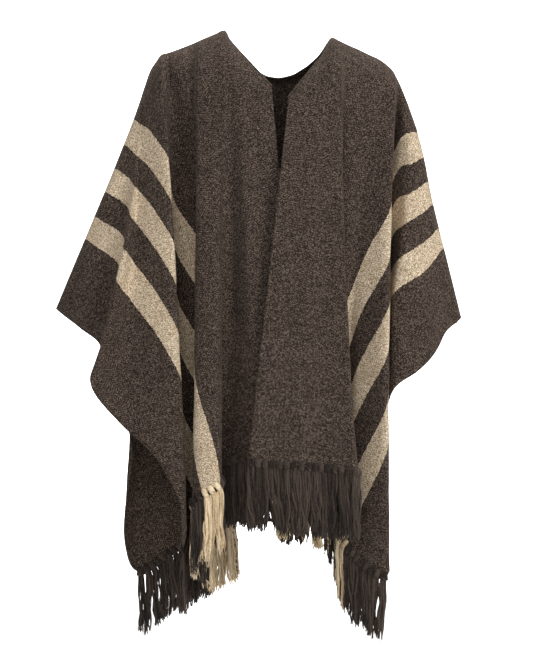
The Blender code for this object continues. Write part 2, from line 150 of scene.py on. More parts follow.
# How far the front's cloth slips sideways over each fold as it is worn, in
# centimetres, at four heights from the shoulder down.
Slip = namedtuple("Slip", "along top upper middle lower")
RIGHT_SLIPS = (
    Slip(10.4, 0.0, 0.0, 0.0, 0.0),
    Slip(15.1, -1.0, -2.1, -3.1, -3.0),
    Slip(16.4, -1.1, -2.2, -2.7, -0.6),
    Slip(21.2, -2.6, -4.3, -3.0, 4.8),
    Slip(22.0, -2.8, -4.6, -3.4, 4.5),
    Slip(22.9, -2.9, -4.8, -3.8, 3.7),
    Slip(26.0, -2.8, -3.9, -1.3, 3.7),
    Slip(29.5, -2.3, -3.6, -1.4, 5.6),
    Slip(33.0, -1.2, -3.2, -3.5, 2.0),
    Slip(37.0, -0.2, -3.0, -5.0, 0.5),
    Slip(49.0, -0.7, -2.8, -3.5, 1.0),
    Slip(60.0, -0.2, 0.4, 0.7, 1.5),
    Slip(72.0, 0.0, 0.0, 0.0, 0.0),
)
NO_SLIPS = (Slip(0.0, 0.0, 0.0, 0.0, 0.0), Slip(72.0, 0.0, 0.0, 0.0, 0.0))

# A slow unevenness of the whole cloth: two waves that cross, each with its steps
# across and down the cloth and where it starts.
Ripple = namedtuple("Ripple", "rise across down start cross_across cross_down cross_start")
RIPPLES = (
    Ripple(0.060, 0.43, 0.11, 0.0, 0.0, 0.17, 1.3),
    Ripple(0.045, 0.90, -0.23, 0.7, 0.2, 0.31, 0.0),
)
SETTLED_DROP = 6.0  # creases and ripples grow from the shoulder over this length
SEWN_WIDTH = 2.5  # and from the centre back join over this width

FINE_PARTS = 9  # steps from one fold to the next
FINE_ROWS = 84  # rows from the shoulder line to the hem
ROW_CROWDING = 1.25  # over 1, the rows stand closer at the shoulder
BEND_STEPS = 40
SLIP_DEGREE = 4  # a curve with four heights and no slip at the hem


def unit(vectors):
    """The vectors, each with a length of one."""
    length = np.linalg.norm(vectors, axis=-1, keepdims=True)
    return vectors / np.maximum(length, 1e-12)


def lengths_of(path):
    """How far along the path each of its points lies."""
    return np.append(0, np.cumsum(np.linalg.norm(np.diff(path, axis=0), axis=1)))


def read_rows(marks, rows, at):
    """What the rows hold at a place between their marks."""
    return np.array([np.interp(at, marks, column) for column in rows.T]).T


def table_at(table, along):
    """A table's values at a place between its rows. Its first column is the place."""
    rows = np.array(table)
    return read_rows(rows[:, 0], rows[:, 1:], along)


def curve_point(before, start, stop, after, knots, at):
    """One point of a Catmull-Rom curve, by repeated straight blends."""

    def mix(one, two, low, high):
        return one + (two - one) * (at - low) / (high - low)

    first = mix(before, start, knots[0], knots[1])
    second = mix(start, stop, knots[1], knots[2])
    third = mix(stop, after, knots[2], knots[3])
    near = mix(first, second, knots[0], knots[2])
    far = mix(second, third, knots[1], knots[3])
    return mix(near, far, knots[1], knots[2])


def spline(points, parts):
    """A smooth line through the points, whose first three columns are places."""
    points = np.asarray(points, float)
    ends = np.vstack([2 * points[0] - points[1], points, 2 * points[-1] - points[-2]])
    line = [points[0]]
    for before, start, stop, after in zip(ends, ends[1:], ends[2:], ends[3:]):
        knots = [0.0]
        for one, two in ((before, start), (start, stop), (stop, after)):
            knots.append(knots[-1] + max(np.linalg.norm((two - one)[:3]), 1e-6) ** 0.5)
        for step in range(1, parts + 1):
            at = knots[1] + (knots[2] - knots[1]) * step / parts
            line.append(curve_point(before, start, stop, after, knots, at))
    return np.array(line)


def neck_point(fold, rest, corner):
    """Where a fold leaves the neck, between its side and its front or back corner."""
    side = np.array(rest[0][1:])
    share = 1 - fold.start / NECK_HALF
    turn = math.sin(math.pi / 2 * share)
    if corner is BACK_NECK:
        dip = (corner.z - side[2]) * turn**BACK_NECK_CURVE
        return np.array([side[0] * (1 - share), corner.y * turn, side[2] + dip])
    dip = (corner.z - side[2]) * share**FRONT_NECK_CURVE
    return np.array([side[0] + (corner.x - side[0]) * share, corner.y * turn, side[2] + dip])


def slipped(slips, along, shares):
    """The slip at each point of a fold: one smooth curve that its four heights pull."""
    heights = np.sqrt(shares)
    slip = np.zeros(len(shares))
    for step, amount in enumerate(table_at(slips, along)):
        weight = math.comb(SLIP_DEGREE, step)
        slip += amount * weight * heights**step * (1 - heights) ** (SLIP_DEGREE - step)
    return slip


def fold_line(fold, end, top, hold, drop, slips, is_back):
    """One fold from the shoulder to the hem, with its place on the flat cloth."""
    fall = top[2] - end.z
    bent = min(1.0, MOST_BEND * fall / drop)
    drop = drop * bent
    hold = top[1] + (hold - top[1]) * bent
    angles = np.linspace(0, math.pi / 2, BEND_STEPS + 1)
    depths = np.append(top[1] + (hold - top[1]) * np.sin(angles), end.y)
    heights = np.append(top[2] - drop * (1 - np.cos(angles)), end.z)
    sides = top[0] + (end.x - top[0]) * (top[2] - heights) / fall
    path = np.column_stack([sides, depths, heights])
    length = lengths_of(path)
    shares = np.linspace(0, 1, FINE_ROWS + 1) ** ROW_CROWDING
    line = read_rows(length, path, shares * length[-1])
    sunk = (top[2] - line[:, 2]) / fall
    line[:, 0] += end.bow * 4 * sunk * (1 - sunk)
    down = HEM_DROP
    if end.across >= PANEL_WIDTH:
        down = math.sqrt(max(length[-1] ** 2 - (end.across - fold.start) ** 2, 1.0))
        down = min(down, HEM_DROP)
    across = fold.start + (end.across - fold.start) * shares + slipped(slips, fold.start, shares)
    way = -1 if is_back else 1
    return np.column_stack([line, across, way * down * shares])


def face_grid(folds, rest, corner, slips):
    """The front or the back of a panel: a row for each level, a column for each step across."""
    is_back = corner is BACK_NECK
    lines = []
    for fold in folds:
        bend = Bend(fold.start, *table_at(BENDS, fold.start))
        front_hold = bend.left_front if rest[0].x > 0 else bend.right_front
        hold = bend.back if is_back else front_hold
        if fold.start < NECK_HALF:
            top = neck_point(fold, rest, corner)
        else:
            top = table_at(rest, fold.start)
        end = fold.back if is_back else fold.front
        lines.append(fold_line(fold, end, top, hold, bend.drop, slips, is_back))
    levels = np.array(lines).transpose(1, 0, 2)
    grid = np.array([spline(level, FINE_PARTS) for level in levels])
    columns = np.arange(grid.shape[1]) / FINE_PARTS
    starts = [fold.start for fold in folds]
    for column in range(neck_columns(folds), grid.shape[1]):
        along = np.interp(columns[column], range(len(starts)), starts)
        grid[0, column, :3] = table_at(rest, along)
        grid[0, column, 3:] = along, 0.0
    return grid * CM


def neck_columns(folds):
    """How many columns of a face start at the neck."""
    return FINE_PARTS * sum(fold.start < NECK_HALF for fold in folds)


def hem_columns(folds, is_back):
    """How many columns of a face end at the hem. The others end at the selvage."""
    ends = [fold.back if is_back else fold.front for fold in folds]
    return FINE_PARTS * [end.across for end in ends].index(PANEL_WIDTH)


def grid_normals(grid):
    """The direction that each point of a face looks in."""
    across = np.gradient(grid[..., :3], axis=1)
    down = np.gradient(grid[..., :3], axis=0)
    return unit(np.cross(across, down))


def crease_rise(crease, across, down):
    """How far one crease lifts each point: a soft ridge that dies away at its ends."""
    start = np.array([crease.across, crease.down])
    line = np.array([crease.to_across, crease.to_down]) - start
    place = np.stack([across, down], axis=-1) - start
    share = (place @ line) / (line @ line)
    off = (place[..., 0] * line[1] - place[..., 1] * line[0]) / np.linalg.norm(line)
    taper = np.clip(np.minimum(share, 1 - share) * 4, 0, 1)
    taper = taper * taper * (3 - 2 * taper)
    return crease.rise * taper * np.exp(-((off / crease.width) ** 2))


def creased(grid, creases, is_back, way):
    """Moves a face's points out and in along its creases and ripples."""
    across, down = grid[..., 3] / CM, grid[..., 4] / CM
    rise = np.zeros(across.shape)
    for ripple in RIPPLES:
        wave = np.sin(across * ripple.across + down * ripple.down + ripple.start)
        cross = across * ripple.cross_across + down * ripple.cross_down + ripple.cross_start
        rise += ripple.rise * wave * np.sin(cross)
    for crease in creases:
        if (crease.to_down < 0) == is_back:
            rise += crease_rise(crease, across, down)
    settled = np.clip(np.abs(down) / SETTLED_DROP, 0, 1)
    if is_back:
        settled = settled * np.clip(across / SEWN_WIDTH, 0, 1)
    moved = grid.copy()
    moved[..., :3] += grid_normals(grid) * way * (rise * settled * CM)[..., None]
    return moved


def grid_faces(ids):
    """The four-sided faces between a grid's points."""
    quads = np.stack([ids[:-1, :-1], ids[:-1, 1:], ids[1:, 1:], ids[1:, :-1]], axis=-1)
    return quads.reshape(-1, 4)


def new_piece(name, points, faces, flats, material):
    """A piece whose UV map holds each point's place on the flat cloth, in metres."""
    mesh = bpy.data.meshes.new(name)
    mesh.from_pydata(np.array(points).tolist(), [], faces)
    flat = mesh.uv_layers.new(name="flat_cloth")
    corners = [corner for face in faces for corner in face]
    flat.data.foreach_set("uv", np.array(flats)[corners].astype(np.float32).ravel())
    mesh.materials.append(material)
    mesh.shade_smooth()
    piece = bpy.data.objects.new(name, mesh)
    bpy.context.scene.collection.objects.link(piece)
    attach(piece, "root")
    return piece


def select_only(piece):
    """Makes this piece the one that operators work on."""
    bpy.ops.object.select_all(action="DESELECT")
    piece.select_set(True)
    bpy.context.view_layer.objects.active = piece


def thicken(piece, thickness):
    """Gives a sheet its thickness, half to each side."""
    select_only(piece)
    wall = piece.modifiers.new("cloth thickness", "SOLIDIFY")
    wall.thickness = thickness
    wall.offset = 0.0
    bpy.ops.object.modifier_apply(modifier=wall.name)


def cloth_piece(name, folds, rest, corner, creases, slips, material):
    """A panel as a thin shell, and the grids of its front and its back."""
    way = -1 if rest[0].x > 0 else 1
    front = creased(face_grid(folds, rest, corner, slips), creases, False, -way)
    back = creased(face_grid(folds, rest, BACK_NECK, NO_SLIPS), creases, True, way)
    back[:, 0, 0] = 0.0
    rows, columns = front.shape[:2]
    front_ids = np.arange(rows * columns).reshape(rows, columns)
    back_ids = front_ids + rows * columns
    neck = neck_columns(folds)
    back_ids[0, neck:] = front_ids[0, neck:]
    points = np.vstack([front.reshape(-1, 5), back.reshape(-1, 5)])
    faces = np.vstack([grid_faces(front_ids), grid_faces(back_ids[::-1])])
    if way < 0:
        faces = faces[:, ::-1]
    used = np.unique(faces)
    place = np.zeros(len(points), int)
    place[used] = np.arange(len(used))
    faces, points = place[faces].tolist(), points[used]
    piece = new_piece(name, points[:, :3], faces, points[:, 3:], material)
    thicken(piece, CLOTH_THICKNESS)
    return piece, front, back


def feed(tree, socket, value):
    """Sets a socket to a number or a colour, or links another node's output to it."""
    if isinstance(value, bpy.types.NodeSocket):
        tree.links.new(value, socket)
    else:
        socket.default_value = value


def set_inputs(node, settings):
    """Sets a node's inputs by their names."""
    for name, value in settings.items():
        node.inputs[name].default_value = value


def math_node(tree, operation, *values):
    """A Math node's result."""
    node = tree.nodes.new("ShaderNodeMath")
    node.operation = operation
    for socket, value in zip(node.inputs, values):
        feed(tree, socket, value)
    return node.outputs[0]


def mix_colour(tree, share, first, second):
    """A blend of two colours. A share under 0 or over 1 gives the one or the other."""
    node = tree.nodes.new("ShaderNodeMix")
    node.data_type = "RGBA"
    for socket, value in ((node.inputs[0], share), (node.inputs[6], first), (node.inputs[7], second)):
        feed(tree, socket, value)
    return node.outputs[2]


# The wool's colours: the dark between the yarns, which is painted shade and also the darkest flecks, the
# yarn, and its palest hairs.
Shades = namedtuple("Shades", "shadow yarn hair")
DARK_WOOL = Shades((0.0072, 0.0045, 0.0033, 1.0), (0.0400, 0.0268, 0.0203, 1.0), (0.225, 0.176, 0.143, 1.0))
OAT_WOOL = Shades((0.16, 0.100, 0.050, 1.0), (0.57, 0.440, 0.29, 1.0), (0.97, 0.87, 0.72, 1.0))
SHADOW_TONE, YARN_TONE, HAIR_TONE = 0.12, 0.54, 0.94

# The loom's measures, in metres. The stripes are places from the centre, and
# each pick carries their edges a little to one side. The twill lines turn back
# every few ends as herringbone, and a float is one yarn's short pass over others.
STRIPES = ((0.350, 0.400), (0.446, 0.496), (0.543, 0.593))
PICK_PITCH = 0.0036
PICK_STEP = 0.0014
TWILL_PITCH = 0.0046
TWILL_WANDER = 0.003
HERRINGBONE = 0.011
FLOAT_LENGTH = 0.0042
FLOAT_STAGGER = 0.37
FLECK = 0.0013
# How much of the wool's tone comes from the twill lines, as painted shade in the hollows between them, how
# much from the floats, and how much from the flecks.
TWILL_SHADE_SHARE, FLOAT_SHARE, FLECK_SHARE = 0.22, 0.10, 0.68
LEAST_WEAR, WEAR_RANGE = 0.8, 0.4
NAP_DEPTH = 0.0006


def new_group(name, inputs, outputs):
    """An empty node group with named sockets, and its two end nodes."""
    group = bpy.data.node_groups.new(name, "ShaderNodeTree")
    for way, sockets in (("INPUT", inputs), ("OUTPUT", outputs)):
        for socket, kind in sockets:
            group.interface.new_socket(name=socket, in_out=way, socket_type="NodeSocket" + kind)
    return group, group.nodes.new("NodeGroupInput").outputs, group.nodes.new("NodeGroupOutput").inputs


def placed_group(tree, group, values):
    """A node group in a material, with what its inputs are set to, and its outputs."""
    node = tree.nodes.new("ShaderNodeGroup")
    node.node_tree = group
    for name, value in values.items():
        feed(tree, node.inputs[name], value)
    return node.outputs


def noise_node(tree, vector, scale, detail):
    """Soft clouds, this many to the metre."""
    place = tree.nodes.new("ShaderNodeMapping")
    set_inputs(place, {"Scale": (scale, scale, scale)})
    tree.links.new(vector, place.inputs[0])
    noise = tree.nodes.new("ShaderNodeTexNoise")
    set_inputs(noise, {"Scale": 1.0, "Detail": detail, "Roughness": 0.6})
    tree.links.new(place.outputs[0], noise.inputs["Vector"])
    return noise.outputs[0]


def chance_node(tree, first, second):
    """One random tone for each pair of whole numbers."""
    pair = tree.nodes.new("ShaderNodeCombineXYZ")
    tree.links.new(first, pair.inputs[0])
    tree.links.new(second, pair.inputs[1])
    chance = tree.nodes.new("ShaderNodeTexWhiteNoise")
    chance.noise_dimensions = "2D"
    tree.links.new(pair.outputs[0], chance.inputs["Vector"])
    return chance.outputs["Value"]


def fleck_node(tree, vector, size):
    """Uneven flecks of pale and dark hair, each of one tone."""
    flecks = tree.nodes.new("ShaderNodeTexVoronoi")
    set_inputs(flecks, {"Scale": 1 / size})
    tree.links.new(vector, flecks.inputs["Vector"])
    parts = tree.nodes.new("ShaderNodeSeparateColor")
    tree.links.new(flecks.outputs["Color"], parts.inputs[0])
    return parts.outputs[0]


def stripe_node(tree, across):
    """White in the stripes and black between them."""
    ramp = tree.nodes.new("ShaderNodeValToRGB")
    ramp.color_ramp.interpolation = "CONSTANT"
    stops = ramp.color_ramp.elements
    stops.remove(stops[1])
    stops[0].color = (0.0, 0.0, 0.0, 1.0)
    for near, far in STRIPES:
        stops.new(near).color = (1.0, 1.0, 1.0, 1.0)
        stops.new(far).color = (0.0, 0.0, 0.0, 1.0)
    tree.links.new(across, ramp.inputs[0])
    return ramp.outputs[0]


def striped_weave():
    """The loom's pattern: stripes, twill floats that turn back as herringbone, painted shade between the
    twill lines, flecks, and wear.
    """
    group, start, end = new_group(
        "striped herringbone weave",
        (("Flat Cloth", "Vector"), ("Place", "Vector")),
        (("Stripe", "Float"), ("Tone", "Float"), ("Height", "Float"), ("Wear", "Float")),
    )
    flat = start["Flat Cloth"]
    split = group.nodes.new("ShaderNodeSeparateXYZ")
    group.links.new(flat, split.inputs[0])
    across, down = split.outputs[0], split.outputs[1]
    pick = math_node(group, "FLOOR", math_node(group, "DIVIDE", down, PICK_PITCH))
    jump = math_node(group, "MULTIPLY_ADD", chance_node(group, pick, pick), PICK_STEP, -PICK_STEP / 2)
    stripe = stripe_node(group, math_node(group, "ADD", across, jump))
    cloud = noise_node(group, flat, 70.0, 1.0)
    wander = math_node(group, "MULTIPLY_ADD", cloud, TWILL_WANDER, -TWILL_WANDER / 2)
    zigzag = math_node(group, "PINGPONG", across, HERRINGBONE)
    slope = math_node(group, "ADD", math_node(group, "ADD", zigzag, down), wander)
    lines = math_node(group, "DIVIDE", slope, TWILL_PITCH)
    line = math_node(group, "FLOOR", lines)
    wave = math_node(group, "SINE", math_node(group, "MULTIPLY", lines, 2 * math.pi))
    rise = math_node(group, "MULTIPLY_ADD", wave, 0.5, 0.5)
    run = math_node(group, "DIVIDE", math_node(group, "SUBTRACT", down, zigzag), FLOAT_LENGTH)
    staggered = math_node(group, "MULTIPLY_ADD", line, FLOAT_STAGGER, run)
    float_tone = chance_node(group, math_node(group, "FLOOR", staggered), line)
    # The twill's rise darkens the colour in the hollows between its lines: painted shade of the relief.
    tone = math_node(group, "MULTIPLY", rise, TWILL_SHADE_SHARE)
    tone = math_node(group, "MULTIPLY_ADD", float_tone, FLOAT_SHARE, tone)
    tone = math_node(group, "MULTIPLY_ADD", fleck_node(group, start["Place"], FLECK), FLECK_SHARE, tone)
    wear = math_node(group, "MULTIPLY_ADD", noise_node(group, flat, 14.0, 3.0), WEAR_RANGE, LEAST_WEAR)
    for name, result in (("Stripe", stripe), ("Tone", tone), ("Height", rise), ("Wear", wear)):
        group.links.new(result, end[name])
    return group


def heathered_tones():
    """Turns a tone into a colour of the wool: its shadow, its yarn, its hairs, and what is between."""
    group, start, end = new_group(
        "heathered wool tones",
        (("Tone", "Float"), ("Shadow", "Color"), ("Yarn", "Color"), ("Hair", "Color")),
        (("Colour", "Color"),),
    )
    colour = start["Shadow"]
    for name, low, high in (("Yarn", SHADOW_TONE, YARN_TONE), ("Hair", YARN_TONE, HAIR_TONE)):
        share = math_node(group, "SUBTRACT", start["Tone"], low)
        share = math_node(group, "DIVIDE", share, high - low)
        colour = mix_colour(group, share, colour, start[name])
    group.links.new(colour, end["Colour"])
    return group


def shaded(tree, tone, shades):
    """A wool's colour at this tone."""
    values = {"Tone": tone, "Shadow": shades.shadow, "Yarn": shades.yarn, "Hair": shades.hair}
    return placed_group(tree, wool_tones, values)["Colour"]


def new_material(name):
    """A wool material, with its places on the flat cloth and on the piece, and its weave."""
    material = bpy.data.materials.new(name)
    material.use_nodes = True
    tree = material.node_tree
    flat = tree.nodes.new("ShaderNodeUVMap")
    flat.uv_map = "flat_cloth"
    place = tree.nodes.new("ShaderNodeTexCoord").outputs["Object"]
    loom = placed_group(tree, weave, {"Flat Cloth": flat.outputs[0], "Place": place})
    return material, tree, flat.outputs[0], place, loom


def finished(material, colour, height, relief, surface):
    """A material with its colour, its fine relief and how its surface takes the light."""
    tree = material.node_tree
    shader = tree.nodes["Principled BSDF"]
    tree.links.new(colour, shader.inputs["Base Color"])
    bump = tree.nodes.new("ShaderNodeBump")
    set_inputs(bump, relief)
    tree.links.new(height, bump.inputs["Height"])
    tree.links.new(bump.outputs[0], shader.inputs["Normal"])
    set_inputs(shader, surface)
    return material


def wool_material(name, shades):
    """Woven wool: heathered yarns in twill lines, with a soft nap."""
    material, tree, _, _, loom = new_material(name)
    ground = shaded(tree, loom["Tone"], shades)
    pale = shaded(tree, loom["Tone"], OAT_WOOL)
    worn = tree.nodes.new("ShaderNodeHueSaturation")
    tree.links.new(loom["Wear"], worn.inputs["Value"])
    tree.links.new(mix_colour(tree, loom["Stripe"], ground, pale), worn.inputs["Color"])
    return finished(
        material, worn.outputs[0], loom["Height"], {"Strength": 0.1, "Distance": NAP_DEPTH},
        {"Roughness": 0.95, "Specular IOR Level": 0.12, "Sheen Weight": 0.10, "Sheen Roughness": 0.5,
         "Sheen Tint": (0.6, 0.45, 0.34, 1)},
    )


weave = striped_weave()
wool_tones = heathered_tones()
panel_cloth = wool_material("dark striped wool", DARK_WOOL)
right_panel, right_front, right_back = cloth_piece(
    "right_panel_cloth", RIGHT_FOLDS, RIGHT_REST, RIGHT_NECK, RIGHT_CREASES, RIGHT_SLIPS, panel_cloth
)
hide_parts("panel_right")

# ---------------------------------------------------------------------------
# The left panel
# The second loom width, the same cloth turned over, joined to the first down
# the centre back. Its front lies over the right one, and a deep pleat falls
# from the side of the neck.
# ---------------------------------------------------------------------------

LEFT_NECK = Neck(1.9, -10.6, -13.0)
LEFT_REST = (
    Rest(10.4, 10.2, 0.0, -0.6),
    Rest(15.7, 15.0, 0.3, -2.6),
    Rest(21.1, 19.9, 0.4, -5.0),
    Rest(23.3, 21.4, 0.3, -6.6),
    Rest(25.5, 22.6, 0.2, -8.5),
    Rest(29.5, 24.1, 0.0, -12.2),
    Rest(35.3, 26.1, 0.0, -17.6),
    Rest(49.8, 29.1, 0.0, -31.8),
    Rest(72.0, 34.4, 0.0, -53.0),
)
LEFT_FOLDS = (
    Fold("centre", 0.0, End(0.0, -5.5, -17.5, -78.6, 0.0), End(0.0, 0.0, 17.0, -80.0, 0.0)),
    Fold("placket", 2.5, End(4.5, -1.1, -17.9, -78.9, 0.0), End(4.0, 3.2, 18.3, -80.1, 0.0)),
    Fold("breast", 5.5, End(10.0, 4.3, -18.0, -79.3, 0.0), End(8.5, 6.5, 20.5, -80.3, 0.0)),
    Fold("trough", 8.0, End(14.5, 7.7, -16.8, -79.6, 0.0), End(15.5, 10.8, 17.2, -80.8, 0.0)),
    Fold("neck_side", 10.4, End(17.5, 10.8, -17.4, -79.9, 0.0), End(21.5, 14.8, 22.0, -81.7, 0.0)),
    Fold("pleat_out", 11.5, End(20.3, 13.6, -18.0, -80.2, -0.7), End(27.5, 19.2, 22.6, -82.9, 0.0)),
    Fold("pleat_under", 12.9, End(23.0, 13.6, -15.2, -80.8, -1.8), End(32.0, 20.6, 20.0, -84.0, 0.0)),
    Fold("tuck_in", 14.3, End(37.0, 0.5, -12.8, -80.6, 0.0), End(37.0, 17.6, 16.7, -85.3, 0.0)),
    Fold("tuck_back", 15.7, End(40.0, 0.8, -10.2, -81.2, 0.0), End(52.0, 13.2, 14.2, -90.0, 0.0)),
    Fold("side_trough", 17.5, End(50.0, 10.0, -5.5, -85.4, 0.0), End(55.5, 13.4, 11.6, -91.2, 0.0)),
    Fold("side_belly", 20.5, End(59.5, 12.4, -9.2, -94.2, 0.0), End(63.5, 15.8, 10.4, -95.2, 0.0)),
    Fold("corner", 23.6, End(72.0, 19.5, -15.0, -99.1, -0.6), End(72.0, 18.8, 9.8, -99.4, 0.0)),
    Fold("arm_near", 25.6, End(72.0, 16.8, 0.6, -82.0, -1.0), End(72.0, 18.2, 7.0, -81.5, 0.0)),
    Fold("arm_far", 28.4, End(72.0, 19.5, -1.6, -77.4, -0.6), End(72.0, 20.2, 6.6, -77.5, 0.0)),
    Fold("forearm", 37.0, End(72.0, 21.0, -9.0, -66.2, -1.6), End(72.0, 21.6, 9.5, -65.5, 0.0)),
    Fold("elbow", 50.0, End(72.0, 25.6, -9.0, -62.7, 0.0), End(72.0, 25.8, 9.0, -62.4, 0.0)),
    Fold("hand", 61.0, End(72.0, 29.2, -5.5, -59.0, 0.0), End(72.0, 29.9, 5.8, -58.2, 0.0)),
    Fold("wrist", 69.0, End(72.0, 31.3, -3.0, -55.5, 0.0), End(72.0, 31.9, 3.0, -55.3, 0.0)),
    Fold("tip", 72.0, End(72.0, 33.6, -1.0, -53.8, 0.0), End(72.0, 33.7, 1.0, -53.7, 0.0)),
)
LEFT_CREASES = (
    Crease(13.8, 4.0, 36.3, 51.0, 1.5, -0.90),
    Crease(3.5, 20.0, 6.5, 78.0, 1.8, 0.20),
    Crease(6.0, 10.0, 10.0, 74.0, 1.6, -0.24),
    Crease(8.5, 8.0, 14.0, 60.0, 1.7, 0.20),
    Crease(13.0, 6.0, 18.0, 22.0, 1.5, -0.20),
    Crease(17.5, 7.0, 25.0, 40.0, 2.0, 0.24),
    Crease(21.0, 9.0, 30.0, 34.0, 1.8, -0.20),
    Crease(46.0, 12.0, 58.0, 24.0, 2.2, 0.20),
    Crease(54.0, 10.0, 68.0, 20.0, 2.0, -0.20),
    Crease(3.0, -15.0, 5.5, -74.0, 1.7, 0.20),
    Crease(7.5, -9.0, 12.0, -60.0, 1.6, -0.26),
    Crease(13.5, -8.0, 22.0, -46.0, 1.7, 0.20),
    Crease(20.0, -9.0, 33.0, -40.0, 1.8, -0.20),
    Crease(30.0, -9.0, 44.0, -28.0, 2.0, 0.20),
    Crease(48.0, -12.0, 64.0, -22.0, 2.0, -0.18),
)
LEFT_SLIPS = (
    Slip(10.4, 0.0, 0.0, 0.0, 0.0),
    Slip(15.7, -0.6, -1.0, -1.7, -1.5),
    Slip(17.5, -0.8, -2.0, -3.5, -1.0),
    Slip(20.5, -1.3, -2.8, -5.7, 0.3),
    Slip(23.6, -1.6, -2.9, -5.9, -3.1),
    Slip(25.6, -2.0, -2.4, -1.8, 1.4),
    Slip(28.4, -2.8, -3.2, 1.5, 7.7),
    Slip(37.0, -0.2, -2.9, -4.4, 2.0),
    Slip(50.0, -0.7, -1.6, -1.3, 1.9),
    Slip(61.0, -0.2, 0.3, 1.5, 2.2),
    Slip(72.0, 0.0, 0.0, 0.0, 0.0),
)
left_panel, left_front, left_back = cloth_piece(
    "left_panel_cloth", LEFT_FOLDS, LEFT_REST, LEFT_NECK, LEFT_CREASES, LEFT_SLIPS, panel_cloth
)
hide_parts("panel_left")

# ---------------------------------------------------------------------------
# The neck edge
# The cloth's raw edge is rolled over and turned in round the neck, as a narrow
# hem inside, and a row of running stitches holds it.
# ---------------------------------------------------------------------------

SEAT = 0.0004  # how far the roll and the knots stand off the cloth's edge
ROLL_HEIGHT = 0.0046
ROLL_THICKNESS = 0.0042
ROLL_SIDES = 8
ROLL_GIRTH = 0.014
HEM_DEPTHS = (0.0005, 0.0035, 0.0070, 0.0100, 0.0115)
HEM_STANDS = (0.0014, 0.0019, 0.0019, 0.0017, 0.0013)
HEM_THICKNESS = 0.0012
STITCH_DEPTH = 0.0092
STITCH_PITCH = 0.0075
STITCH_LENGTH = 0.0042
STITCH_SIDES = 5
THREAD_RADIUS = 0.00055
THREAD_WOOL = Shades((0.030, 0.020, 0.014, 1.0), (0.085, 0.062, 0.047, 1.0), (0.25, 0.20, 0.16, 1.0))
NECK_MIDDLE = np.array((0.0, -0.01, 0.0))


class Yarns:
    """Many round forms that become one piece, with their places on the flat cloth."""

    def __init__(self):
        self.points, self.faces, self.flats = [], [], []

    def add(self, centres, ones, twos, sides, flats, flat_step):
        """A closed tube: round each centre a ring, whose half widths are two vectors."""
        start, rings = len(self.points), len(centres)
        for centre, one, two, flat in zip(centres, ones, twos, flats):
            for side in range(sides):
                angle = 2 * math.pi * side / sides
                self.points.append(centre + one * math.cos(angle) + two * math.sin(angle))
                self.flats.append((flat[0] + flat_step[0] * side, flat[1] + flat_step[1] * side))
        for ring in range(rings - 1):
            for side in range(sides):
                low, after = start + ring * sides, (side + 1) % sides
                self.faces.append([low + side, low + sides + side, low + sides + after, low + after])
        last = start + (rings - 1) * sides
        self.faces.append([start + side for side in range(sides)])
        self.faces.append([last + side for side in range(sides)][::-1])

    def strand(self, path, radii, sides, across, number=0):
        """A yarn along a path. It lies this far across the flat cloth, its number further down."""
        ways = unit(np.gradient(path, axis=0))
        ones = unit(np.cross(ways, (0.31, 0.93, 0.2)))
        twos = np.cross(ways, ones)
        radii = np.broadcast_to(radii, len(path))[:, None]
        flats = [(across, number + length) for length in lengths_of(path)]
        self.add(path, ones * radii, twos * radii, sides, flats, (0.0, 0.002))

    def piece(self, name, material, slot):
        """All of them as one piece, with every face turned outwards."""
        piece = new_piece(name, self.points, self.faces, self.flats, material)
        select_only(piece)
        bpy.ops.object.mode_set(mode="EDIT")
        bpy.ops.mesh.select_all(action="SELECT")
        bpy.ops.mesh.normals_make_consistent(inside=False)
        bpy.ops.object.mode_set(mode="OBJECT")
        return piece


def neck_line(front, back, folds):
    """One panel's half of the neck edge, from its front corner to the centre back."""
    last = neck_columns(folds)
    points = np.vstack([front[0, : last + 1], back[0, :last][::-1]])
    outs = np.vstack([grid_normals(front)[0, : last + 1], -grid_normals(back)[0, :last][::-1]])
    return points[:, :3], outs


left_points, left_outs = neck_line(left_front, left_back, LEFT_FOLDS)
right_points, right_outs = neck_line(right_front, right_back, RIGHT_FOLDS)
edge = np.vstack([left_points, right_points[::-1][1:]])
outs = np.vstack([left_outs, -right_outs[::-1][1:]])
edge[len(left_points) - 1, 0] = 0.0
ups = unit(np.cross(unit(np.gradient(edge, axis=0)), outs))
ups *= np.sign(np.sum(ups * (NECK_MIDDLE - edge), axis=1, keepdims=True))
middle = edge + ups * (SEAT + ROLL_HEIGHT / 2)
length = lengths_of(middle)
uneven = (1 + 0.08 * np.sin(length * 210) + 0.06 * np.sin(length * 530 + 1))[:, None]
roll = Yarns()
roll.add(
    middle, outs * ROLL_THICKNESS / 2 * uneven, ups * ROLL_HEIGHT / 2 * uneven, ROLL_SIDES,
    [(0.0, along) for along in length], (ROLL_GIRTH / ROLL_SIDES, 0.0),
)
roll_wool = wool_material("neck edge wool", DARK_WOOL)
neck_roll = roll.piece("neck_edge_roll", roll_wool, "neck_binding_wool")
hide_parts("neck_binding")


def neck_rim(face, outward, folds, depth, stand):
    """Points round one face's neck, this far down the cloth and this far off it."""
    rim = []
    normals = grid_normals(face) * outward
    for column in range(neck_columns(folds) + 1):
        line = face[:, column]
        length = lengths_of(line[:, :3])
        place = read_rows(length, line, depth)
        out = unit(read_rows(length, normals[:, column], depth))
        rim.append(np.append(place[:3] + out * stand, place[3:]))
    return np.array(rim)


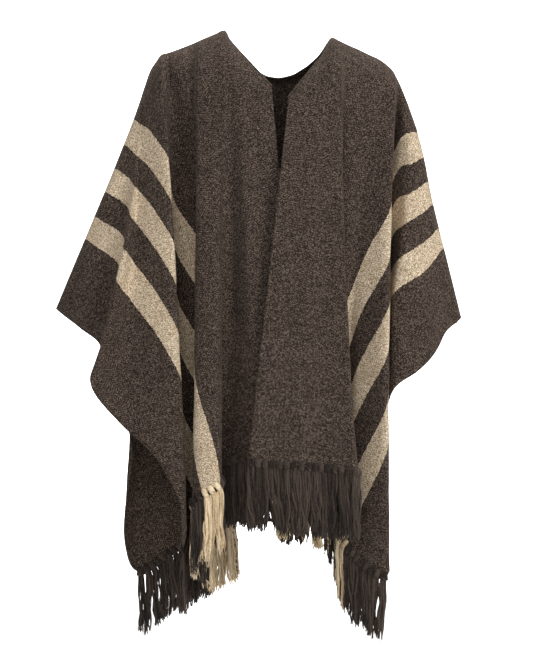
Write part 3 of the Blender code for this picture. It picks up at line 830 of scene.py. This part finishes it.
neck_faces = (
    ("left_front", left_front, 1, LEFT_FOLDS), ("left_back", left_back, -1, LEFT_FOLDS),
    ("right_front", right_front, -1, RIGHT_FOLDS), ("right_back", right_back, 1, RIGHT_FOLDS),
)
for name, face, outward, folds in neck_faces:
    rims = [neck_rim(face, outward, folds, depth, -stand) for depth, stand in zip(HEM_DEPTHS, HEM_STANDS)]
    points = np.vstack(rims)
    ids = np.arange(len(points)).reshape(len(rims), -1)
    faces = grid_faces(ids)
    if outward > 0:
        faces = faces[:, ::-1]
    hem = new_piece(
        name + "_neck_hem", points[:, :3], faces.tolist(), points[:, 3:], roll_wool
    )
    thicken(hem, HEM_THICKNESS)

thread = wool_material("neck sewing thread", THREAD_WOOL)
stitches = Yarns()
for name, face, outward, folds in neck_faces:
    row = neck_rim(face, outward, folds, STITCH_DEPTH, CLOTH_THICKNESS / 2)[:, :3]
    lifted = neck_rim(face, outward, folds, STITCH_DEPTH, CLOTH_THICKNESS / 2 + THREAD_RADIUS)[:, :3]
    length = lengths_of(row)
    for number in range(int(length[-1] / STITCH_PITCH)):
        start = (number + 0.3) * STITCH_PITCH
        path = []
        for share, line in ((0.0, row), (0.25, lifted), (0.75, lifted), (1.0, row)):
            path.append(read_rows(length, line, start + STITCH_LENGTH * share))
        stitches.strand(np.array(path), THREAD_RADIUS, STITCH_SIDES, 0.0, number)
stitches.piece("neck_running_stitches", thread, "neck_binding_wool")

# ---------------------------------------------------------------------------
# The centre back join
# The two loom widths meet edge to edge down the back and are sewn together by
# hand with slanting stitches of the same yarn.
# ---------------------------------------------------------------------------

JOIN_PITCH = 0.0065
JOIN_REACH = 0.0034
JOIN_SLANT = 0.3  # half a stitch's way down the join, as a share of the pitch
JOIN_YARN_RADIUS = 0.0007
JOIN_DIP = 1.6  # how many radii a stitch's ends lie below its middle

join = left_back[2:, 0, :3]
join_out = unit(np.cross(np.gradient(join, axis=0), (1.0, 0.0, 0.0)))
join_out *= np.sign(join_out[:, 1:2])
length = lengths_of(join)
join_yarns = Yarns()
for number in range(int(length[-1] / JOIN_PITCH)):
    path = []
    for share in (-1.0, -0.5, 0.0, 0.5, 1.0):
        mark = (number + 0.5 + JOIN_SLANT * share) * JOIN_PITCH
        out = unit(read_rows(length, join_out, mark))
        lift = CLOTH_THICKNESS / 2 + JOIN_YARN_RADIUS * (1 - JOIN_DIP * share**2)
        path.append(read_rows(length, join, mark) + out * lift + np.array((JOIN_REACH * share, 0.0, 0.0)))
    join_yarns.strand(np.array(path), JOIN_YARN_RADIUS, STITCH_SIDES, 0.0, number)
join_yarns.piece("back_join_stitches", thread, "dark_wool_cloth")

# ---------------------------------------------------------------------------
# The fringes
# The warp ends left at each hem are gathered in bunches. Behind the knots, dark cords run along the hem and
# fill the gaps between them: a dark band that stands in for the shade there.
# Each bunch is tied in one overhand knot against the cloth, and hangs as a
# tassel of loosely twisted yarns, pale where a stripe ends.
# ---------------------------------------------------------------------------

# Dark cords along the hem behind the knots fill the gaps between them with dark yarn: painted shade,
# standing in for the shadow that falls there.
GAP_SHADE_CORD_LEVELS = (0.0016, 0.0046, 0.0076)  # how far below the hem each dark cord lies, as painted shade between the knots
GAP_SHADE_CORD_RADIUS = 0.0018
GAP_SHADE_CORD_SIDES = 5
GAP_SHADE_CORD_NUMBER = 7
TASSEL_PITCH = 0.0127
TASSEL_LENGTH = 0.128
KNOT_LAP = 0.0040  # how far a knot laps over the hem
KNOT_HEIGHT = 0.0125
KNOT_WIDTH = 0.0110
KNOT_DEPTH = 0.0134
KNOT_SIDES = 8
KNOT_TURN_STEPS = 10
KNOT_TURN_SIDES = 6
TASSEL_YARNS = 11
YARN_SIDES = 5
YARN_STEPS = 11
YARN_RADIUS = 0.0018
YARN_TAPER = ((0, 0.1, 0.85, 1), (0.75, 1.0, 0.95, 0.5))  # down a yarn: its share of the radius
BUNCH_RADIUS = 0.0043
BUNCH_TOP, BUNCH_FLARE = 0.92, 0.32  # its width at the knot and what the foot adds, as shares
BUNCH_BREADTH = 1.25  # how much wider than its radius it lies along the hem
BUNCH_DEPTHS = ((0, 0.25, 1), (0.5, 0.75, 0.9))  # down it: how deep it is from front to back
INNER_EVERY, INNER_SHARE = 4, 0.45  # one yarn in four hangs this near the bunch's middle
BUNCH_MOUTH = 0.85  # how far down the knot its yarns start, as a share of its height
TASSEL_WISPS = 8  # fine yarns that stray out of the bunch
WISP_SIDES = 3
WISP_STEPS = 7
WISP_RADII = (0.00045, 0.00025)
WISP_FLARE = 0.9
EASE_LENGTH = 0.02  # over this a tassel turns from the cloth's fall to straight down
SWAY_POWER = 1.4
BEND_RUN = 6.5
LEVELLING = (1, 1, 0.2)  # tassels stand nearly level, however the cloth leans
Wave = namedtuple("Wave", "reach rate")
LEAN, SLOW_LEAN = Wave(0.0065, 1.9), Wave(0.004, 0.45)
HIGHEST_NUMBER = 400  # a yarn's number sets its tone

# A knot's swell down its height, and the yarns wound round it.
KnotRing = namedtuple("KnotRing", "level swell")
KNOT_CORE = (
    KnotRing(-0.25, 0.62), KnotRing(0.0, 0.8), KnotRing(0.25, 0.97),
    KnotRing(0.5, 1.02), KnotRing(0.75, 0.94), KnotRing(1.0, 0.6),
)
KnotTurn = namedtuple("KnotTurn", "level radius")
KNOT_TURNS = (KnotTurn(0.28, 0.0024), KnotTurn(0.66, 0.0022))

# What differs from tassel to tassel and from yarn to yarn: the least and the most.
Spread = namedtuple("Spread", "least most")
TURN_TILT = Spread(0.0016, 0.0030)
TASSEL_SHARE = Spread(0.94, 1.03)
SIDE_SWAY = Spread(-0.005, 0.005)
OUT_SWAY = Spread(-0.003, 0.004)
TWIST = Spread(0.8, 2.6)
BEND_REACH = Spread(0.0012, 0.0034)
YARN_SHARE = Spread(0.92, 1.03)
PHASE_SHIFT = Spread(-0.3, 0.3)
STRAYING = Spread(0.2, 1.0)
CRIMP_SHARE = Spread(0.5, 1.4)
WAVE_TURNS = Spread(9, 17)
RIPPLE_TURNS = Spread(7, 15)
STRIPE_DRIFT = Spread(-0.0045, 0.0045)
CRIMP = 0.0018


def knot(yarns, top, fall, side, out, across, number, tilt):
    """An overhand knot: a rounded core with two turns of yarn wound round it."""
    levels, swells = np.array(KNOT_CORE).T[:, :, None]
    flats = [(across, number + 0.003 * ring) for ring in range(len(KNOT_CORE))]
    yarns.add(
        top + fall * KNOT_HEIGHT * levels, side * KNOT_WIDTH / 2 * swells, out * KNOT_DEPTH / 2 * swells,
        KNOT_SIDES, flats, (0.0, 0.001),
    )
    for turn, (level, radius) in enumerate(KNOT_TURNS):
        angles = np.linspace(0, 2 * math.pi, KNOT_TURN_STEPS + 1) + math.pi / 2
        loop = np.outer(np.cos(angles) * (KNOT_WIDTH / 2 - radius), side)
        loop += np.outer(np.sin(angles) * (KNOT_DEPTH / 2 - radius), out)
        loop += np.outer(np.cos(angles) * tilt + KNOT_HEIGHT * level, fall)
        yarns.strand(top + loop, radius, KNOT_TURN_SIDES, across, number + turn)


def tassel(yarns, top, fall, side, out, across, lean, chance):
    """A knot, and the bunch of yarns that hangs from it."""
    down = np.array((0.0, 0.0, -1.0))
    number = int(chance.integers(1, HIGHEST_NUMBER))
    knot(yarns, top, fall, side, out, across, number, chance.uniform(*TURN_TILT))
    foot = top + fall * KNOT_HEIGHT * BUNCH_MOUTH
    length = TASSEL_LENGTH * chance.uniform(*TASSEL_SHARE) - KNOT_HEIGHT
    sway = side * (lean + chance.uniform(*SIDE_SWAY)) + out * chance.uniform(*OUT_SWAY)
    twist = chance.uniform(*TWIST)
    bend, bend_start = chance.uniform(*BEND_REACH), chance.uniform(0, 2 * math.pi)
    for yarn in range(TASSEL_YARNS + TASSEL_WISPS):
        is_wisp = yarn >= TASSEL_YARNS
        steps = WISP_STEPS if is_wisp else YARN_STEPS
        shares = np.linspace(0, 1, steps + 1)
        reach = length * chance.uniform(*YARN_SHARE)
        spread = BUNCH_RADIUS * (BUNCH_TOP + BUNCH_FLARE * shares)
        phase = 2 * math.pi * yarn / TASSEL_YARNS + chance.uniform(*PHASE_SHIFT)
        if yarn % INNER_EVERY == 0:
            spread = spread * INNER_SHARE
        if is_wisp:
            spread = spread * (1.0 + WISP_FLARE * shares * chance.uniform(*STRAYING))
        angles = phase + twist * shares
        ease = np.clip(shares * length / EASE_LENGTH, 0, 1)[:, None]
        lead = fall * (1 - ease) + down * ease
        fallen = np.cumsum(np.vstack([[0, 0, 0], unit(lead[1:]) * reach / steps]), axis=0)
        crimp = CRIMP * np.sqrt(shares) * chance.uniform(*CRIMP_SHARE)
        wave = crimp * np.sin(shares * chance.uniform(*WAVE_TURNS) + phase * 3)
        ripple = crimp * np.sin(shares * chance.uniform(*RIPPLE_TURNS) + phase * 5)
        deep = spread * np.interp(shares, *BUNCH_DEPTHS)
        path = foot + fallen + np.outer(shares**SWAY_POWER, sway)
        path += np.outer(bend * shares * np.sin(BEND_RUN * shares + bend_start), side)
        path += np.outer(np.cos(angles) * spread * BUNCH_BREADTH + wave, side)
        path += np.outer(np.sin(angles) * deep + ripple, out)
        place = across + chance.uniform(*STRIPE_DRIFT)
        number = int(chance.integers(1, HIGHEST_NUMBER))
        if is_wisp:
            yarns.strand(path, np.linspace(*WISP_RADII, steps + 1), WISP_SIDES, place, number)
        else:
            radii = YARN_RADIUS * np.interp(shares, *YARN_TAPER)
            yarns.strand(path, radii, YARN_SIDES, place, number)


def fringe_piece(name, node, grid, last, outward, seed, material):
    """One hem's dark cords, which stand in for the shade between the knots, and its tassels, an even pitch
    apart, leaning in slow waves.
    """
    chance = np.random.default_rng(seed)
    hem = grid[-1, : last + 1]
    normals = grid_normals(grid)[-1, : last + 1] * outward
    falls = unit(np.cross(normals, np.gradient(hem[:, :3], axis=0)))
    falls *= np.sign(-falls[:, 2:])
    length = lengths_of(hem[:, :3])
    count = round(length[-1] / TASSEL_PITCH)
    yarns = Yarns()
    for number in range(count):
        at = (number + 0.5) / count * length[-1]
        place = read_rows(length, hem, at)
        fall = unit(read_rows(length, falls, at))
        out = unit(read_rows(length, normals, at))
        side = unit(np.cross(fall, out))
        level_out = unit(out * LEVELLING)
        top = place[:3] + fall * (SEAT - KNOT_LAP)
        lean = LEAN.reach * math.sin(number * LEAN.rate + seed)
        lean += SLOW_LEAN.reach * math.sin(number * SLOW_LEAN.rate)
        tassel(yarns, top, fall, side, level_out, place[3], lean, chance)
    # The dark cords behind the knots: painted shade in the gaps between them.
    for level in GAP_SHADE_CORD_LEVELS:
        yarns.strand(hem[:, :3] + falls * level, GAP_SHADE_CORD_RADIUS, GAP_SHADE_CORD_SIDES, 0.0, GAP_SHADE_CORD_NUMBER)
    piece = yarns.piece(name, material, "fringe_yarn")
    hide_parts(node)
    return piece


FIBRES = (900.0, 900.0, 260.0)  # fibres to the metre, round a yarn and along it
FIBRE_LEAN = 0.5
FIBRE_DEPTH = 0.0008
DARK_YARN = ((0.010, 0.0073, 0.0058, 1.0), (0.080, 0.058, 0.046, 1.0))
PALE_YARN = ((0.46, 0.33, 0.185, 1.0), (0.97, 0.80, 0.55, 1.0))


def yarn_material(name):
    """Loosely spun yarn: dark, or pale where the stripe's warp ends."""
    material, tree, flat, place, loom = new_material(name)
    stretch = tree.nodes.new("ShaderNodeMapping")
    set_inputs(stretch, {"Rotation": (FIBRE_LEAN, 0.0, 0.0), "Scale": FIBRES})
    tree.links.new(place, stretch.inputs[0])
    plies = tree.nodes.new("ShaderNodeTexNoise")
    set_inputs(plies, {"Scale": 1.0, "Detail": 3.0})
    tree.links.new(stretch.outputs[0], plies.inputs["Vector"])
    split = tree.nodes.new("ShaderNodeSeparateXYZ")
    tree.links.new(flat, split.inputs[0])
    yarn_number = math_node(tree, "FLOOR", split.outputs[1])
    tone = math_node(tree, "ADD", chance_node(tree, yarn_number, yarn_number), -0.95)
    fibre = math_node(tree, "MULTIPLY_ADD", plies.outputs[0], 2.0, tone)
    dark = mix_colour(tree, fibre, *DARK_YARN)
    pale = mix_colour(tree, fibre, *PALE_YARN)
    colour = mix_colour(tree, loom["Stripe"], dark, pale)
    return finished(
        material, colour, plies.outputs[0], {"Strength": 0.6, "Distance": FIBRE_DEPTH},
        {"Roughness": 0.9, "Specular IOR Level": 0.2, "Sheen Weight": 0.3, "Sheen Roughness": 0.45,
         "Sheen Tint": (0.6, 0.52, 0.45, 1)},
    )


fringe_yarn = yarn_material("twisted fringe yarn")
right_fringes, left_fringes = [], []
for fringes, name, node, grid, last, outward, seed in (
    (right_fringes, "right_front", "front_right", right_front, hem_columns(RIGHT_FOLDS, False), -1, 11),
    (right_fringes, "right_back", "back_right", right_back, hem_columns(RIGHT_FOLDS, True), 1, 12),
    (left_fringes, "left_front", "front_left", left_front, hem_columns(LEFT_FOLDS, False), 1, 21),
    (left_fringes, "left_back", "back_left", left_back, hem_columns(LEFT_FOLDS, True), -1, 22),
):
    fringes.append(
        fringe_piece(name + "_tassels", "fringe_" + node, grid, last, outward, seed, fringe_yarn)
    )

# ---------------------------------------------------------------------------
# The studio
# A pale floor that curves up into a backdrop, large soft lights, and a camera
# level with the middle of the garment.
# ---------------------------------------------------------------------------

FLOOR = -1.36
FLOOR_FRONT = -6.0
FLOOR_BACK = 9.0
FLOOR_SIDE = 9.0
SWEEP_RADIUS = 1.4
SWEEP_STEPS = 12
BACKDROP_TOP = FLOOR + 5.0

bpy.ops.object.select_all(action="DESELECT")
bpy.ops.mesh.primitive_plane_add(size=1)
floor = bpy.context.object
floor.name = "studio_floor"
bend_start = FLOOR_BACK - SWEEP_RADIUS
for corner in floor.data.vertices:
    far = corner.co.y > 0
    corner.co = (math.copysign(FLOOR_SIDE, corner.co.x), bend_start if far else FLOOR_FRONT, FLOOR)
    corner.select = far
for line in floor.data.edges:
    line.select = all(floor.data.vertices[end].select for end in line.vertices)
for face in floor.data.polygons:
    face.select = False
bpy.ops.object.mode_set(mode="EDIT")
bpy.ops.mesh.select_mode(type="EDGE")
sweep = [(bend_start, FLOOR)]
for step in range(1, SWEEP_STEPS + 1):
    angle = math.pi / 2 * step / SWEEP_STEPS
    sweep.append((bend_start + SWEEP_RADIUS * math.sin(angle), FLOOR + SWEEP_RADIUS * (1 - math.cos(angle))))
sweep.append((FLOOR_BACK, BACKDROP_TOP))
for (near, low), (far, high) in zip(sweep, sweep[1:]):
    bpy.ops.mesh.extrude_region_move(TRANSFORM_OT_translate={"value": (0.0, far - near, high - low)})
bpy.ops.object.mode_set(mode="OBJECT")
floor.data.shade_smooth()
floor_paint = bpy.data.materials.new("studio floor paint")
floor_paint.use_nodes = True
paint = floor_paint.node_tree.nodes["Principled BSDF"]
set_inputs(paint, {"Base Color": (0.93, 0.93, 0.93, 1), "Roughness": 0.9})
floor.data.materials.append(floor_paint)

world = bpy.data.worlds.new("studio")
bpy.context.scene.world = world
world.use_nodes = True
set_inputs(world.node_tree.nodes["Background"], {"Color": (1, 1, 1, 1), "Strength": 0.18})

# Where each large lamp stands, and what it is turned to.
Lamp = namedtuple("Lamp", "name x y z size watts aim")
GARMENT_MIDDLE = (0.0, 0.0, -0.55)
for lamp in (
    Lamp("key_light", 2.0, -2.4, 0.6, 1.2, 57.0, GARMENT_MIDDLE),
    Lamp("front_light", -0.3, -3.2, 0.6, 1.4, 28.0, GARMENT_MIDDLE),
    Lamp("fill_light", -2.6, -1.8, 0.2, 1.4, 5.0, GARMENT_MIDDLE),
    Lamp("floor_light", 0.0, 0.9, 2.2, 3.0, 130.0, (0.0, 1.9, 1.3)),
    Lamp("backdrop_light", 0.0, 4.5, 2.8, 4.0, 1000.0, (0.0, 5.5, 1.9)),
):
    light = bpy.data.lights.new(lamp.name, "AREA")
    light.size = lamp.size
    light.energy = lamp.watts
    lamp_object = bpy.data.objects.new(lamp.name, light)
    bpy.context.scene.collection.objects.link(lamp_object)
    lamp_object.location = (lamp.x, lamp.y, lamp.z)
    aim = Vector(lamp.aim) - lamp_object.location
    lamp_object.rotation_euler = aim.to_track_quat("-Z", "Y").to_euler()

CAMERA_PLACE = (-0.02162, -3.0, -0.55836)
VIEW_HEIGHT = 1.25208  # what the camera takes in at the garment's middle plane
SENSOR = 36.0
camera = bpy.data.cameras.new("camera")
camera_object = bpy.data.objects.new("camera", camera)
bpy.context.scene.collection.objects.link(camera_object)
camera.sensor_fit = "AUTO"
camera.sensor_width = SENSOR
camera.lens = SENSOR * -CAMERA_PLACE[1] / VIEW_HEIGHT
camera_object.location = CAMERA_PLACE
camera_object.rotation_euler = (math.pi / 2, 0.0, 0.0)
bpy.context.scene.camera = camera_object
bpy.context.scene.view_settings.view_transform = "Standard"
